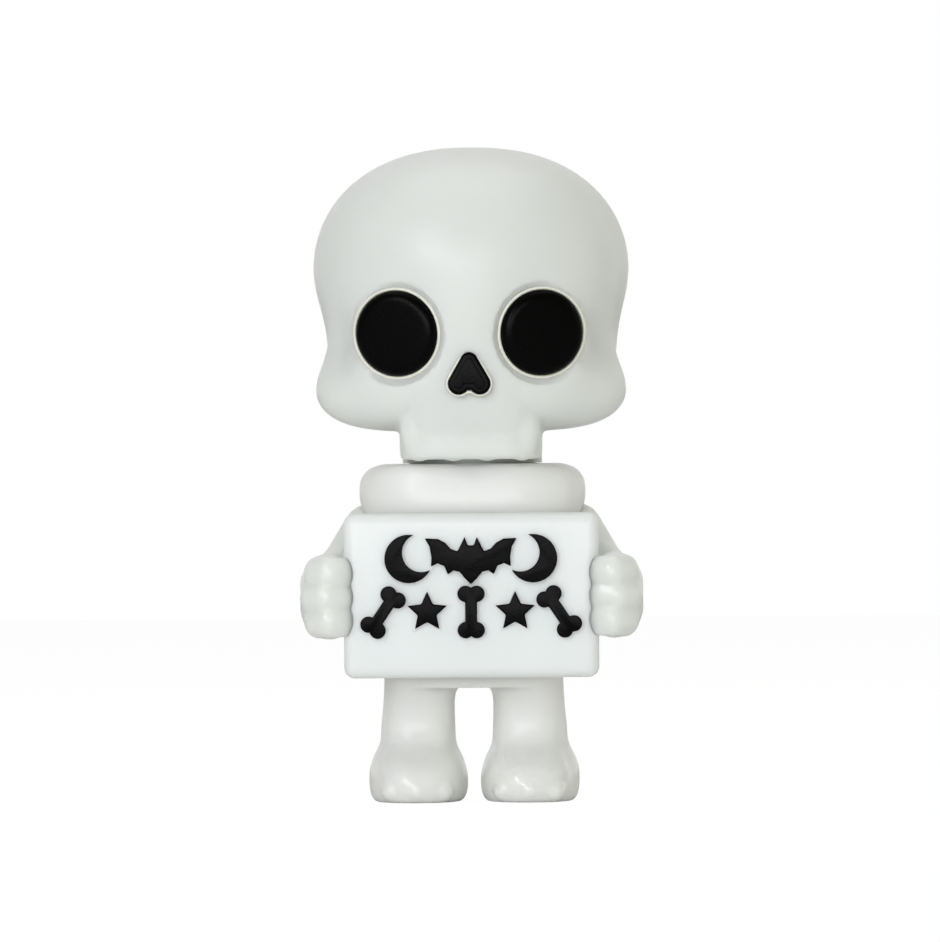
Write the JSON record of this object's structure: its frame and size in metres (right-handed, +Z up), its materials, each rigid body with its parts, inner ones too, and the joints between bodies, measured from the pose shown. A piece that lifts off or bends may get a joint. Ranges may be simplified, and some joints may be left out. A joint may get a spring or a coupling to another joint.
{
  "type": "halloween skeleton figure",
  "caption": "Free-standing milky vinyl skeleton night light with a large turning skull, inset eyes, hands that hold a board with raised emblems, and a battery door behind.",
  "frame": {"origin": "on the ground under the neck, midway between the two soles", "axes": "+Z up along the neck's axis; the figure faces -Y; +X points to the figure's own left hand"},
  "size_m": [0.0622, 0.0519, 0.12],
  "materials": {
    "vinyl": "soft satin milky vinyl",
    "board_vinyl": "soft satin milky vinyl, slightly bluer",
    "black_gloss": "glossy black lacquer",
    "white_plastic": "plain moulded",
    "black_plastic": "plain moulded",
    "steel": "plated",
    "circuit_board": "solder mask",
    "lamp_clear": "clear cast resin",
    "resistor_tan": "ceramic coat",
    "wire_red": "insulation",
    "wire_black": "insulation"
  },
  "bodies": {
    "body": {"neck_bearing": "white_plastic", "body_front": "vinyl", "body_back": "vinyl", "arm_left": "vinyl", "arm_right": "vinyl", "sign_board": "board_vinyl", "sign_motif_upper": "black_gloss", "sign_motif_lower": "black_gloss", "body_screws": "steel", "battery_box": "white_plastic", "button_cells": "steel", "contact_spring": "steel", "contact_plates": "steel", "led_board": "circuit_board", "led_lamp": "lamp_clear", "led_resistor": "resistor_tan", "wire_positive": "wire_red", "wire_negative": "wire_black", "wire_switch": "wire_black", "switch_body": "black_plastic"},
    "head": {"skull_face": "vinyl", "skull_back": "vinyl", "eye_left": "black_gloss", "eye_right": "black_gloss", "nose_button": "black_gloss", "neck_shaft": "vinyl"},
    "knob": {"switch_knob": "black_plastic"},
    "door": {"battery_door": "vinyl", "door_screw": "steel"}
  },
  "joints": [
    {"name": "head_turn", "type": "hinge", "parent": "body", "child": "head", "pos_m": [0, 0, 0.062], "axis": [0, 0, 1], "continuous": true},
    {"name": "switch_slide", "type": "slide", "parent": "body", "child": "knob", "axis": [1, 0, 0], "range_m": [0, 0.002]},
    {"name": "door_lift", "type": "slide", "parent": "body", "child": "door", "axis": [0, 1, 0], "range_m": [0, 0.015]}
  ]
}
